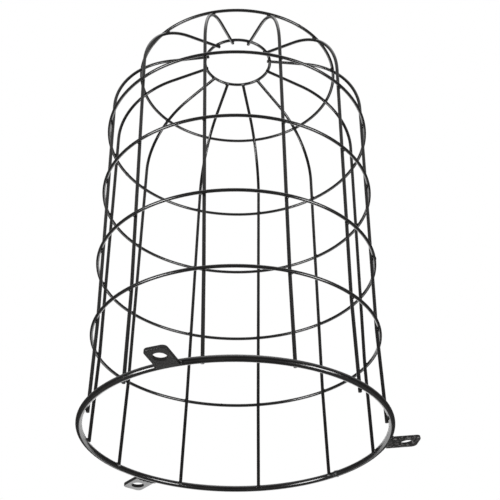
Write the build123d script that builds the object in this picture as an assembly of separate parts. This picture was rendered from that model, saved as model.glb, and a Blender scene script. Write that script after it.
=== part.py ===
from build123d import *
import os
from math import cos, radians, sin, sqrt, tan

# Wire cage lampshade: millimetres, +Z up the axis from the open mouth to the crown.
# The origin is the centre of the base ring's wire, a plane that crosses the three tab holes.

# Wires
base_wire_dia = 3.4
hoop_wire_dia = 1.85
rib_wire_dia = 1.85
# How far two crossing wires are pressed into each other at a weld
weld_set_down = 0.25

# Base ring
base_outer_dia = 160.0

# Hoops, counted from the crown down; hoops 2 to 5 share one size
hoop_mean_dia = 151.8
top_hoop_mean_dia = 118.8
hoop_2_height = 187.5
hoop_3_height = 142.8
hoop_4_height = 94.8
hoop_5_height = 50.3

# Crown ring
crown_mean_dia = 40.6

# Ribs
rib_count = 12
first_rib_azimuth = -160.0
bend_start_height = 201.2
bend_radius = 43.1
# Slope of a rib over the dome, up from the horizontal
dome_slope = 15.4
# The bend that turns a rib's foot out to the base ring
foot_bend_radius = 120.0
# How far each rib's foot reaches below the middle of the base ring, as cut by hand
foot_drops = [2.0, 1.2, 0.6, 0.6, 2.0, 2.4, 1.2, 0.8, 0.3, 0.8, 0.6, 0.4]
# How far a rib's end stands inside the crown ring's inner edge
crown_end_overhang = 0.5
# Hand-set strays in degrees from an even spacing, one per rib: at the foot,
# at the shoulder and at the crown
foot_strays = [1, -2, -0.5, 1.5, 0.5, -1.5, -0.5, -1.5, 1, 4.5, 6, 1.5]
shoulder_strays = [-8.5, -4.5, -3.5, -1.5, 0.5, 0, -1.5, 1, -0.5, -1, 1, -1]
crown_strays = [1, 5, 2, 1, 9.5, 2, -2, 0, 0, -0.5, -1, -1]

# Fixing tabs
tab_count = 3
first_tab_azimuth = -111.4
# From the base ring's outer edge to a tab hole's centre
tab_hole_offset = 8.5
tab_hole_dia = 7.0
tab_thickness = 1.8
tab_width = 11.6
# From the hole's centre to the tab's outer edge
tab_end_margin = 6.8
tab_corner_radius = 2.6
tab_edge_radius = 0.3
# How far a tab's inner end is tucked into the base ring's outer side
tab_tuck = 0.7
# How far each tab's underside lies below the middle of the base ring at its inner end,
# and its upward tilt in degrees, as hand welded
tab_drops = [2.1, 2.1, 1.0]
tab_lifts = [4, 8, -1]

# Worked out from the driving sizes
base_radius = (base_outer_dia - base_wire_dia) / 2
hoop_radius = hoop_mean_dia / 2
top_hoop_radius = top_hoop_mean_dia / 2
crown_radius = crown_mean_dia / 2
# Distance between the middles of a rib and a hoop that are welded where they cross
crossing_pitch = (hoop_wire_dia + rib_wire_dia) / 2 - weld_set_down
rib_radius = hoop_radius - crossing_pitch
foot_radius = base_radius - (base_wire_dia + rib_wire_dia) / 2 + weld_set_down
# The bend's centre, seen in the rib's own upright plane
bend_centre_radius = rib_radius - bend_radius
# The top hoop lies on the outside of the bend
top_hoop_height = bend_start_height + sqrt(
    (bend_radius + crossing_pitch) ** 2 - (top_hoop_radius - bend_centre_radius) ** 2
)
# Where the upright leg and the sloping top of a rib would meet if they weren't bent
corner_height = bend_start_height + bend_radius * tan(radians((90 - dome_slope) / 2))
# The crown ring lies on top of the sloping rib ends
rib_rise = tan(radians(dome_slope))
crown_seat_radius = crown_radius - crossing_pitch * sin(radians(dome_slope))
crown_height = (
    corner_height
    + (rib_radius - crown_seat_radius) * rib_rise
    + crossing_pitch * cos(radians(dome_slope))
)
rib_end_radius = crown_radius - hoop_wire_dia / 2 - crown_end_overhang
rib_end_height = corner_height + (rib_radius - rib_end_radius) * rib_rise


def around(radius, azimuth, height):
    """A point given by its distance from the axis, its direction and its height."""
    return Vector(radius * cos(radians(azimuth)), radius * sin(radians(azimuth)), height)


def wire_ring(mean_radius, wire_dia, height):
    return Pos(0, 0, height) * Torus(mean_radius, wire_dia / 2)


def rib_wire(index):
    """One rib: foot, upright leg and top bent over to the crown, as a single round wire."""
    azimuth = first_rib_azimuth + index * 360 / rib_count
    foot_azimuth = azimuth + foot_strays[index % len(foot_strays)]
    shoulder_azimuth = azimuth + shoulder_strays[index % len(shoulder_strays)]
    crown_azimuth = azimuth + crown_strays[index % len(crown_strays)]
    knee_share = hoop_5_height / corner_height
    knee_azimuth = foot_azimuth + (shoulder_azimuth - foot_azimuth) * knee_share
    knee = around(rib_radius, knee_azimuth, hoop_5_height)
    corner = around(rib_radius, shoulder_azimuth, corner_height)
    end = around(rib_end_radius, crown_azimuth, rib_end_height)
    # The foot follows the line from the base ring's middle to the knee, carried on downwards
    at_ring = around(foot_radius, foot_azimuth, 0)
    foot_drop = foot_drops[index % len(foot_drops)]
    foot = at_ring + (at_ring - knee) * (foot_drop / hoop_5_height)
    path = FilletPolyline(foot, knee, corner, end, radius=[foot_bend_radius, bend_radius])
    section = Plane(origin=path @ 0, z_dir=path % 0) * Circle(rib_wire_dia / 2)
    return sweep(section, path=path)


def tab_plate(index):
    """One fixing tab: a flat plate with rounded corners and a hole parallel to the axis."""
    inner_radius = base_radius + base_wire_dia / 2 - tab_tuck
    hole_radius = base_outer_dia / 2 + tab_hole_offset
    lift = tab_lifts[index % len(tab_lifts)]
    length = (hole_radius - inner_radius) / cos(radians(lift)) + tab_end_margin
    plate = Pos(length / 2, 0, tab_thickness / 2) * Box(length, tab_width, tab_thickness)
    plate = fillet(plate.edges().filter_by(Axis.Z).sort_by(Axis.X)[-2:], tab_corner_radius)
    rims = plate.faces().filter_by(Axis.Z).edges()
    plate = fillet([rim for rim in rims if rim.center().X > length * 1e-6], tab_edge_radius)
    drop = tab_drops[index % len(tab_drops)]
    plate = Pos(inner_radius, 0, -drop) * Rot(0, -lift, 0) * plate
    plate -= Pos(hole_radius, 0, 0) * Cylinder(tab_hole_dia / 2, base_outer_dia)
    return Rot(0, 0, first_tab_azimuth + index * 360 / tab_count) * plate


base_ring = wire_ring(base_radius, base_wire_dia, 0)
rings = {
    "base_ring": base_ring,
    "hoop_1": wire_ring(top_hoop_radius, hoop_wire_dia, top_hoop_height),
    "hoop_2": wire_ring(hoop_radius, hoop_wire_dia, hoop_2_height),
    "hoop_3": wire_ring(hoop_radius, hoop_wire_dia, hoop_3_height),
    "hoop_4": wire_ring(hoop_radius, hoop_wire_dia, hoop_4_height),
    "hoop_5": wire_ring(hoop_radius, hoop_wire_dia, hoop_5_height),
    "crown_ring": wire_ring(crown_radius, hoop_wire_dia, crown_height),
}
pieces = dict(rings)
# Each rib is flattened where a ring is pressed into it
for rib_index in range(rib_count):
    pieces[f"rib_{rib_index + 1:02d}"] = rib_wire(rib_index) - list(rings.values())
# Each tab is shaped to the base ring that it is welded to
for tab_index in range(tab_count):
    pieces[f"tab_{tab_index + 1}"] = tab_plate(tab_index) - base_ring

os.makedirs("parts", exist_ok=True)
for name, piece in pieces.items():
    export_step(piece, f"parts/{name}.step")
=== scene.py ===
import math
import random

import bmesh
import bpy
from mathutils import Matrix, Vector, noise


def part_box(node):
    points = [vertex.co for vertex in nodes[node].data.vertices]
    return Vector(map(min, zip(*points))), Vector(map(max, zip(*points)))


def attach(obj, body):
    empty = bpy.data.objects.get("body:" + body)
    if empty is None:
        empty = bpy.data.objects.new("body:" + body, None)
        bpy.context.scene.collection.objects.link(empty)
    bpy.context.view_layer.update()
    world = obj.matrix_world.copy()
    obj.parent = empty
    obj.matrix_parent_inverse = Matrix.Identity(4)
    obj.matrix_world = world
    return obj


# Wire cage lampshade in black paint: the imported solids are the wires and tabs, and this script
# adds the weld metal, the butt joints of the rings, the paint and the studio around them.
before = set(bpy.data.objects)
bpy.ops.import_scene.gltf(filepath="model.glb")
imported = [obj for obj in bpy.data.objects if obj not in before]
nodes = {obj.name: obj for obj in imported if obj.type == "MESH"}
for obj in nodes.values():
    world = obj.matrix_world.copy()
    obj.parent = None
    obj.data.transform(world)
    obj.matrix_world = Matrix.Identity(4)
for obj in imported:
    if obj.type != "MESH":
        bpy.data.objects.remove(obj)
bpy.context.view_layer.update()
# Seeded, so that each run gives the same lumps
chance = random.Random(11)
MM = 0.001
UP = Vector((0, 0, 1))

# Camera: in front of the cage and below its mouth, looking up into it. Place in metres,
# angles in degrees.
CAMERA_PLACE = Vector((0.00754, -0.51185, -0.22919))
CAMERA_TILT_UP = 33.484
CAMERA_ROLL = -0.167
FOCAL_LENGTH_PX = 1099.1
PICTURE_WIDTH_PX = 500
SENSOR_WIDTH = 36.0  # millimetres

camera_data = bpy.data.cameras.new("camera")
camera_data.sensor_width = SENSOR_WIDTH
camera_data.lens = FOCAL_LENGTH_PX / PICTURE_WIDTH_PX * SENSOR_WIDTH
camera_data.clip_start = 0.01
camera_data.clip_end = 30
camera = bpy.data.objects.new("camera", camera_data)
bpy.context.scene.collection.objects.link(camera)
camera.matrix_world = (
    Matrix.Translation(CAMERA_PLACE)
    @ Matrix.Rotation(math.radians(90 + CAMERA_TILT_UP), 4, "X")
    @ Matrix.Rotation(math.radians(CAMERA_ROLL), 4, "Z")
)
bpy.context.scene.camera = camera


# Node trees
class Nodes:
    """A node tree, with short calls that add a node and return its output."""

    def __init__(self, tree):
        self.tree = tree

    def add(self, kind, **settings):
        node = self.tree.nodes.new(kind)
        for key, value in settings.items():
            setattr(node, key, value)
        return node

    def link(self, out, into):
        self.tree.links.new(out, into)

    def math(self, operation, a, b):
        """Each of a and b is a number or another node's output."""
        node = self.add("ShaderNodeMath", operation=operation)
        for socket, value in zip(node.inputs, (a, b)):
            if isinstance(value, float):
                socket.default_value = value
            else:
                self.link(value, socket)
        return node.outputs[0]

    def ramp(self, value, stops):
        """Stops are pairs of a place and a colour, in rising order."""
        node = self.add("ShaderNodeValToRGB")
        elements = node.color_ramp.elements
        for at, _ in stops[1:-1]:
            elements.new(at)
        for element, (at, colour) in zip(elements, stops):
            element.position = at
            element.color = (*colour, 1)
        self.link(value, node.inputs["Fac"])
        return node.outputs["Color"]


class Look(Nodes):
    """One procedural material. Scales are in cells per metre."""

    # Most of a noise's values lie between these two
    NOISE_LOW = 0.3
    NOISE_HIGH = 0.7

    def __init__(self, name):
        self.material = bpy.data.materials.new(name)
        self.material.use_nodes = True
        super().__init__(self.material.node_tree)
        self.shader = self.tree.nodes["Principled BSDF"]
        self.place = self.add("ShaderNodeTexCoord").outputs["Object"]

    def noise(self, scale, detail, roughness=0.55):
        node = self.add("ShaderNodeTexNoise")
        node.inputs["Scale"].default_value = scale
        node.inputs["Detail"].default_value = detail
        node.inputs["Roughness"].default_value = roughness
        self.link(self.place, node.inputs["Vector"])
        return node.outputs["Fac"]

    def specks(self, scale, size):
        """1 inside small round spots, one per cell, and 0 between them."""
        node = self.add("ShaderNodeTexVoronoi")
        node.inputs["Scale"].default_value = scale
        self.link(self.place, node.inputs["Vector"])
        return self.math("LESS_THAN", node.outputs["Distance"], size)

    def blend(self, share, low, high):
        """The output low where share is 0, and the colour high where it is 1."""
        node = self.add("ShaderNodeMix", data_type="RGBA")
        self.link(share, node.inputs["Factor"])
        self.link(low, node.inputs["A"])
        node.inputs["B"].default_value = (*high, 1)
        return node.outputs["Result"]

    def spread(self, value, low, high):
        """Stretches a noise so that it runs from low to high."""
        node = self.add("ShaderNodeMapRange")
        node.inputs["From Min"].default_value = self.NOISE_LOW
        node.inputs["From Max"].default_value = self.NOISE_HIGH
        node.inputs["To Min"].default_value = low
        node.inputs["To Max"].default_value = high
        self.link(value, node.inputs["Value"])
        return node.outputs["Result"]

    def bump(self, height, distance, strength, under=None):
        node = self.add("ShaderNodeBump")
        node.inputs["Distance"].default_value = distance
        node.inputs["Strength"].default_value = strength
        self.link(height, node.inputs["Height"])
        if under is not None:
            self.link(under, node.inputs["Normal"])
        return node.outputs["Normal"]


# Paint: its tones at full strength, the bare primer in a chip and the tint of the pale patches painted
# in as glints
PAINT_DARK = (0.0085, 0.0078, 0.0078)
PAINT_MID = (0.0130, 0.0119, 0.0117)
PAINT_DUSTY = (0.0245, 0.0225, 0.0215)
PAINT_CHIP = (0.12, 0.115, 0.108)
PAINTED_GLINT_TINT = (1.0, 0.96, 0.95)
# How fine each of its details is, in cells per metre
CLOUD_SCALE = 75
SHEEN_SCALE = 330
PAINTED_GLINT_SCALE = 650
CHIP_SCALE = 1500
CHIPPED_AREA_SCALE = 210
GRAIN_SCALE = 6200
# Noise levels at which a painted glint starts and at which it is as pale as it gets
PAINTED_GLINT_START = 0.52
PAINTED_GLINT_FULL = 0.65
# Radius of a chip, as a share of its cell, and the noise level above which chips show
CHIP_SIZE = 0.16
CHIP_RARITY = 0.69
# Roughness runs from a little under to a little over the paint's own value
SHEEN_UNDER = 0.05
SHEEN_OVER = 0.07
GRAIN_DEPTH = 0.0006  # millimetres
GRAIN_STRENGTH = 0.8


def tinted(colour, level):
    return tuple(level * c for c in colour)


def black_paint(name, tone, dull, peel_size, peel_depth, gleam=0.95, glint_paleness=0.0):
    """Sprayed black paint: cloudy tone, orange-peel skin, duller patches and rare pale chips.

    Dull is its roughness, and the peel's size and depth are in millimetres. Glint paleness is how
    pale the small patches painted into the colour as glints of a lumpy coat are, 0 for none.
    """
    look = Look(name)
    tones = [
        (0.32, tinted(PAINT_DARK, tone)),
        (0.55, tinted(PAINT_MID, tone)),
        (0.8, tinted(PAINT_DUSTY, tone)),
    ]
    colour = look.ramp(look.noise(CLOUD_SCALE, detail=5, roughness=0.6), tones)
    # Pale patches painted into the colour, standing in for glints on a lumpy coat
    if glint_paleness:
        painted_glint_noise = look.noise(PAINTED_GLINT_SCALE, detail=4, roughness=0.6)
        painted_glints = look.ramp(painted_glint_noise, [(PAINTED_GLINT_START, (0, 0, 0)), (PAINTED_GLINT_FULL, (1, 1, 1))])
        colour = look.blend(painted_glints, colour, tinted(PAINTED_GLINT_TINT, glint_paleness))
    chipped_areas = look.math("GREATER_THAN", look.noise(CHIPPED_AREA_SCALE, detail=2), CHIP_RARITY)
    chips = look.math("MULTIPLY", look.specks(CHIP_SCALE, CHIP_SIZE), chipped_areas)
    sheen_noise = look.noise(SHEEN_SCALE, detail=5, roughness=0.65)
    sheen = look.spread(sheen_noise, dull - SHEEN_UNDER, dull + SHEEN_OVER)
    peel_noise = look.noise(1 / (peel_size * MM), detail=2, roughness=0.5)
    peel = look.bump(peel_noise, peel_depth * MM, strength=1.0)
    grain_noise = look.noise(GRAIN_SCALE, detail=2, roughness=0.6)
    grain = look.bump(grain_noise, GRAIN_DEPTH * MM, strength=GRAIN_STRENGTH, under=peel)
    look.link(look.blend(chips, colour, PAINT_CHIP), look.shader.inputs["Base Color"])
    look.link(sheen, look.shader.inputs["Roughness"])
    look.link(grain, look.shader.inputs["Normal"])
    look.shader.inputs["Specular IOR Level"].default_value = gleam
    return look.material


paint_thick = black_paint("paint_thick_wire", tone=0.45, dull=0.17, peel_size=1.6, peel_depth=0.010)
paint_thin = black_paint("paint_thin_wire", tone=0.40, dull=0.18, peel_size=1.2, peel_depth=0.007)
paint_weld = black_paint(
    "paint_welds", tone=0.40, dull=0.30, peel_size=0.5, peel_depth=0.02, gleam=0.7
)
paint_joint = black_paint(
    "paint_base_joint", tone=0.40, dull=0.44, peel_size=0.5, peel_depth=0.02, gleam=0.6
)
# The tabs' skins differ, in the depth of the peel and in painted glints: the second is the roughest,
# with pale patches painted into its colour as glints, and the third is smooth
TAB_SKINS = {"tab_1": (0.03, 0.0), "tab_2": (0.20, 0.11), "tab_3": (0.01, 0.0)}
paint_tabs = {
    tab: black_paint(
        "paint_" + tab, tone=0.7, dull=0.22, peel_size=1.4, peel_depth=depth, gleam=0.9, glint_paleness=glint_paleness
    )
    for tab, (depth, glint_paleness) in TAB_SKINS.items()
}

for name, node in nodes.items():
    if name in paint_tabs:
        paint = paint_tabs[name]
    elif name == "base_ring":
        paint = paint_thick
    else:
        paint = paint_thin
    for slot in node.material_slots:
        slot.material = paint


# Places round the cage's axis
def outward(azimuth):
    return Vector((math.cos(azimuth), math.sin(azimuth), 0))


def sideways(azimuth):
    return Vector((-math.sin(azimuth), math.cos(azimuth), 0))


def azimuth_of(place):
    return math.atan2(place.y, place.x)


class Ring:
    """A closed wire ring of the frame: its mean radius, height and wire radius."""

    def __init__(self, name):
        low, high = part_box(name)
        self.wire = (high[2] - low[2]) / 2
        self.radius = (high[0] - low[0]) / 2 - self.wire
        self.height = (high[2] + low[2]) / 2

    def at(self, azimuth, out=0.0, up=0.0):
        """A point near the ring: azimuth in radians, out and up from the middle of its wire."""
        return outward(azimuth) * (self.radius + out) + UP * (self.height + up)


rings = {n: Ring(n) for n in nodes if n.startswith("hoop") or n in ("base_ring", "crown_ring")}
ribs = sorted(n for n in nodes if n.startswith("rib"))
tabs = sorted(n for n in nodes if n.startswith("tab"))
base = rings["base_ring"]

# Weld metal. Sizes are in millimetres.
# Reach of the metal squeezed out round a crossing: along the rib, along the ring and out
HOOP_NUGGET = (1.25, 1.35, 0.50)
FOOT_NUGGET = (1.05, 1.75, 0.70)
# How much the reach of one nugget differs from another's, as a share, and how far each is
# shifted along its ring
NUGGET_STRAY = 0.12
NUGGET_DRIFT = 0.15
# A rib's surface this close to a ring's lies in the hollow that the ring has pressed into it
CONTACT_GAP = 0.04
# Lumps of a blob: their height as a share of its reach, and how many there are across it
BLOB_LUMPS = ((0.2, 1.6), (0.07, 4.5))
BLOB_DIVISIONS = 3
# Ripples and lumps of a bead: their height as a share of its radius, and how close they lie,
# in radians per point and in cells per metre
BEAD_RIPPLE = 0.10
BEAD_RIPPLE_PACE = 1.1
BEAD_LUMP = 0.16
BEAD_LUMP_SCALE = 900
# Radius of a bead's ends, as a share of its radius
BEAD_TIP = 0.05
BEAD_SIDES = 10
BEAD_STEPS = 30
# Beads along a tab's seams: radius, and how far out from the seam and up from it they lie
TOP_BEAD = (0.62, 0.15, 0.05)
UNDER_BEAD = (0.80, 0.55, -0.10)
# How far a bead runs past the tab's sides
BEAD_OVERRUN = 0.5
# The web of metal at each side of a tab: its reach outwards, along the ring and up, and how
# far its middle lies inside the ring's outer side and below the tab's upper face
WEB = (1.0, 1.25, 0.72)
WEB_SETBACK = 0.15
WEB_DROP = 0.75
# Width of the strip where a tab's faces meet the base ring
TAB_ROOT = 0.6
# Half the span from which a place in the noise is drawn
NOISE_SPAN = 40


def noise_place():
    """A place in the noise of its own for each blob and joint, so that no two are alike."""
    return Vector(chance.uniform(-NOISE_SPAN, NOISE_SPAN) for _ in range(3))


def contact(ring, rib):
    """Where a rib is pressed against a ring: the middle of the rib's hollow for that ring."""
    touching = []
    for vert in nodes[rib].data.vertices:
        distance = (vert.co - ring.at(azimuth_of(vert.co))).length
        if abs(distance - ring.wire) < CONTACT_GAP * MM:
            touching.append(vert.co)
    return sum(touching, Vector()) / len(touching)


def turns(sides):
    return [2 * math.pi * k / sides for k in range(sides)]


def skin(builder, loops):
    """Joins each loop of vertices to the next one, and closes both ends."""
    for low, high in zip(loops, loops[1:]):
        for k in range(len(low)):
            after = (k + 1) % len(low)
            builder.faces.new((low[k], low[after], high[after], high[k]))
    builder.faces.new(loops[0][::-1])
    builder.faces.new(loops[-1])


def add_blob(builder, place, axes, reach):
    """A lumpy, squashed ball: axes are three directions, reach is how far it goes along each."""
    turn = Matrix(axes).transposed().to_4x4()
    turn.translation = place
    ball = bmesh.ops.create_icosphere(builder, subdivisions=BLOB_DIVISIONS, radius=1.0)
    shift = noise_place()
    for vert in ball["verts"]:
        swell = 1 + sum(height * noise.noise(vert.co * count + shift) for height, count in BLOB_LUMPS)
        vert.co = turn @ Vector(c * r * swell for c, r in zip(vert.co, reach))


def add_bead(builder, points, radius):
    """A run of weld metal along points: round in section, rippled, with thin ends."""
    loops = []
    last = len(points) - 1
    for index, point in enumerate(points):
        ahead = (points[min(index + 1, last)] - points[max(index - 1, 0)]).normalized()
        side = ahead.cross(UP).normalized()
        up = side.cross(ahead)
        share = index / last
        fullness = math.sqrt(max(math.sin(math.pi * share), 0.0))
        ripple = BEAD_RIPPLE * math.sin(share * len(points) * BEAD_RIPPLE_PACE)
        lump = BEAD_LUMP * noise.noise(point * BEAD_LUMP_SCALE)
        thick = radius * max(fullness * (1 + ripple + lump), BEAD_TIP)
        loops.append(
            [
                builder.verts.new(point + thick * (math.cos(a) * side + math.sin(a) * up))
                for a in turns(BEAD_SIDES)
            ]
        )
    skin(builder, loops)


def finish_piece(name, builder, material=paint_weld):
    """Turns a bmesh into a piece that rides on the cage and has the cage's paint."""
    bmesh.ops.recalc_face_normals(builder, faces=builder.faces)
    mesh = bpy.data.meshes.new(name)
    builder.to_mesh(mesh)
    builder.free()
    mesh.shade_smooth()
    mesh.materials.append(material)
    piece = bpy.data.objects.new(name, mesh)
    bpy.context.scene.collection.objects.link(piece)
    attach(piece, "root")


# Where each rib crosses each ring, a flat collar of squeezed-out metal fills the four corners
for ring_name, ring in rings.items():
    nugget = FOOT_NUGGET if ring is base else HOOP_NUGGET
    builder = bmesh.new()
    for rib in ribs:
        middle = contact(ring, rib)
        azimuth = azimuth_of(middle)
        out = (middle - ring.at(azimuth)).normalized()
        along_ring = sideways(azimuth)
        along_rib = out.cross(along_ring)
        reach = [r * MM * chance.uniform(1 - NUGGET_STRAY, 1 + NUGGET_STRAY) for r in nugget]
        drift = along_ring * chance.uniform(-NUGGET_DRIFT, NUGGET_DRIFT) * MM
        add_blob(builder, middle + drift, (along_rib, along_ring, out), reach)
    finish_piece("welds_" + ring_name, builder)


class Tab:
    """A fixing tab of the frame: its azimuth and half width, and where its faces meet the ring.

    The seams are heights from the middle of the base ring's wire.
    """

    def __init__(self, name):
        mesh = nodes[name].data
        # A tab is even on both sides of its own radius, so its surface's middle lies on it
        middle = sum((face.center * face.area for face in mesh.polygons), Vector())
        self.azimuth = azimuth_of(middle)
        self.half_width = max(abs(v.co.dot(sideways(self.azimuth))) for v in mesh.vertices)
        root_end = base.radius + base.wire + TAB_ROOT * MM
        root = [v.co.z for v in mesh.vertices if v.co.dot(outward(self.azimuth)) < root_end]
        self.upper_seam = max(root) - base.height
        self.lower_seam = min(root) - base.height


def add_seam_bead(builder, tab, seam_out, seam_up, bead):
    """A bead along the line where one face of a tab meets the base ring."""
    radius, out, up = (size * MM for size in bead)
    half_angle = (tab.half_width + BEAD_OVERRUN * MM) / (base.radius + base.wire)
    points = [
        base.at(tab.azimuth + half_angle * (2 * k / BEAD_STEPS - 1), out=seam_out + out, up=seam_up + up)
        for k in range(BEAD_STEPS + 1)
    ]
    add_bead(builder, points, radius)


def add_web(builder, tab, side):
    """The metal between the base ring and one side of a tab: side is 1 or -1."""
    azimuth = tab.azimuth + side * tab.half_width / (base.radius + base.wire)
    place = base.at(azimuth, out=base.wire - WEB_SETBACK * MM, up=tab.upper_seam - WEB_DROP * MM)
    reach = [size * MM for size in WEB]
    add_blob(builder, place, (outward(azimuth), sideways(azimuth), UP), reach)


for name in tabs:
    tab = Tab(name)
    builder = bmesh.new()
    add_seam_bead(builder, tab, base.wire, tab.upper_seam, TOP_BEAD)
    for side in (-1, 1):
        add_web(builder, tab, side)
    # A tab whose lower face also meets the ring's side has a second bead along that seam
    if abs(tab.lower_seam) < base.wire:
        seam_out = math.sqrt(base.wire**2 - tab.lower_seam**2)
        add_seam_bead(builder, tab, seam_out, tab.lower_seam, UNDER_BEAD)
    finish_piece("welds_" + name, builder)

# Butt joints of the rings: azimuth in degrees, then, in millimetres, length, how far the lump
# stands proud and how far the two ends are out of line. The base ring's and hoop_4's show in
# the photograph, and the other rings must have one too.
JOINTS = {
    "base_ring": (46.0, 4.0, 0.34, -0.12),
    "hoop_4": (-10.1, 2.4, 0.35, 0.12),
    "hoop_5": (97.0, 2.0, 0.18, 0.0),
    "hoop_3": (66.0, 2.0, 0.18, 0.0),
    "hoop_2": (155.0, 2.0, 0.18, 0.0),
    "hoop_1": (-52.0, 1.8, 0.16, 0.0),
    "crown_ring": (75.0, 1.8, 0.16, 0.0),
}
JOINT_SIDES = 28
JOINT_ROWS = 15
# How far the joint's ends lie under the wire's surface, in millimetres
JOINT_SINK = 0.01
# Lumps round the wire and along the joint, in noise cells per wire radius and per length
JOINT_LUMPS_ROUND = 1.3
JOINT_LUMPS_ALONG = 5.2
# The joint is left flush where the wire's surface faces down more than this
FLUSH_BELOW = -0.8


def add_joint(builder, ring, azimuth, length, proud, step):
    """A butt joint in a ring: a short lumpy sleeve, with a step where the ends don't line up."""
    shift = noise_place()
    loops = []
    for row in range(JOINT_ROWS):
        share = row / (JOINT_ROWS - 1)
        turn = azimuth + (share - 0.5) * length / ring.radius
        hump = math.sin(math.pi * share)
        loop = []
        for angle in turns(JOINT_SIDES):
            out, up = math.cos(angle), math.sin(angle)
            lumps = Vector((out * JOINT_LUMPS_ROUND, up * JOINT_LUMPS_ROUND, share * JOINT_LUMPS_ALONG))
            bump = 0.5 + noise.noise(lumps + shift) if up > FLUSH_BELOW else 0.0
            reach = ring.wire + proud * hump * bump - JOINT_SINK * MM
            lift = step * hump * max(up, 0)
            loop.append(builder.verts.new(ring.at(turn, out=reach * out, up=reach * up + lift)))
        loops.append(loop)
    skin(builder, loops)


for ring_name, (azimuth, *sizes) in JOINTS.items():
    builder = bmesh.new()
    add_joint(builder, rings[ring_name], math.radians(azimuth), *(size * MM for size in sizes))
    paint = paint_joint if ring_name == "base_ring" else paint_thin
    finish_piece("joint_" + ring_name, builder, paint)


# Studio: a plain pale floor, soft boxes and an even world. Sizes are in metres. The cage
# hangs high above the floor, as the camera looks up into it.
FLOOR_HEIGHT = -0.8
FLOOR_HALF_SIDE = 6.0
FLOOR_TONES = [(0.3, (0.80, 0.80, 0.795)), (0.7, (0.84, 0.84, 0.835))]
FLOOR_CLOUD_SCALE = 3
CAGE_MIDDLE = (0, 0, 0.12)
# The even light of the world, where white is 1
WORLD_LEVEL = 0.85
# How bright the studio looks in the paint, from straight down (0) to straight up (1)
SKY = (
    (0.0, 0.08),
    (0.15, 0.22),
    (0.25, 0.22),
    (0.33, 0.07),
    (0.5, 0.07),
    (0.73, 0.11),
    (0.84, 0.50),
    (0.92, 0.50),
    (1.0, 1.0),
)

floor_mesh = bpy.data.meshes.new("floor")
builder = bmesh.new()
bmesh.ops.create_grid(builder, x_segments=2, y_segments=2, size=FLOOR_HALF_SIDE)
builder.to_mesh(floor_mesh)
builder.free()
floor = bpy.data.objects.new("floor", floor_mesh)
floor.location.z = FLOOR_HEIGHT
floor.visible_glossy = False
bpy.context.scene.collection.objects.link(floor)
card = Look("floor_card")
floor_clouds = card.noise(FLOOR_CLOUD_SCALE, detail=2)
card.link(card.ramp(floor_clouds, FLOOR_TONES), card.shader.inputs["Base Color"])
card.shader.inputs["Roughness"].default_value = 0.9
floor_mesh.materials.append(card.material)


def soft_box(name, place, width, height, radiance, aim=CAGE_MIDDLE):
    """A rectangular soft light that faces the cage; its surface looks as bright as radiance."""
    data = bpy.data.lights.new(name, "AREA")
    data.shape = "RECTANGLE"
    data.size = width
    data.size_y = height
    data.energy = radiance * math.pi * width * height
    light = bpy.data.objects.new(name, data)
    bpy.context.scene.collection.objects.link(light)
    light.location = place
    light.rotation_euler = (Vector(aim) - Vector(place)).to_track_quat("-Z", "Y").to_euler()
    light.visible_camera = False


soft_box("left", (-0.90, -0.50, -0.42), width=0.38, height=0.42, radiance=15)
soft_box("right", (0.88, -0.52, -0.42), width=0.38, height=0.42, radiance=12)
soft_box("card_behind", (-0.01, 0.22, 0.09), width=0.17, height=0.44, radiance=1.8, aim=(-0.01, 0, 0.09))
soft_box("top", (0.1, -0.2, 1.7), width=1.0, height=1.0, radiance=1.0)

world = bpy.data.worlds.new("studio")
bpy.context.scene.world = world
world.use_nodes = True
studio = Nodes(world.node_tree)
background = studio.tree.nodes["Background"]
background.inputs["Color"].default_value = (1, 1, 1, 1)
path = studio.add("ShaderNodeLightPath").outputs
direction = studio.add("ShaderNodeSeparateXYZ")
studio.link(studio.add("ShaderNodeTexCoord").outputs["Generated"], direction.inputs[0])
height = studio.math("ADD", studio.math("MULTIPLY", direction.outputs["Z"], 0.5), 0.5)
sky = studio.ramp(height, [(at, (level, level, level)) for at, level in SKY])
# The camera and glass see white, glossy paint sees the sky above, and the rest is evenly lit
seen = studio.math("MAXIMUM", path["Is Camera Ray"], path["Is Transmission Ray"])
mirrored = studio.math("MULTIPLY", path["Is Glossy Ray"], sky)
other = studio.math("MULTIPLY", studio.math("SUBTRACT", 1.0, path["Is Glossy Ray"]), WORLD_LEVEL)
strength = studio.math("MAXIMUM", studio.math("MAXIMUM", seen, mirrored), other)
studio.link(strength, background.inputs["Strength"])

bpy.context.scene.view_settings.view_transform = "Standard"
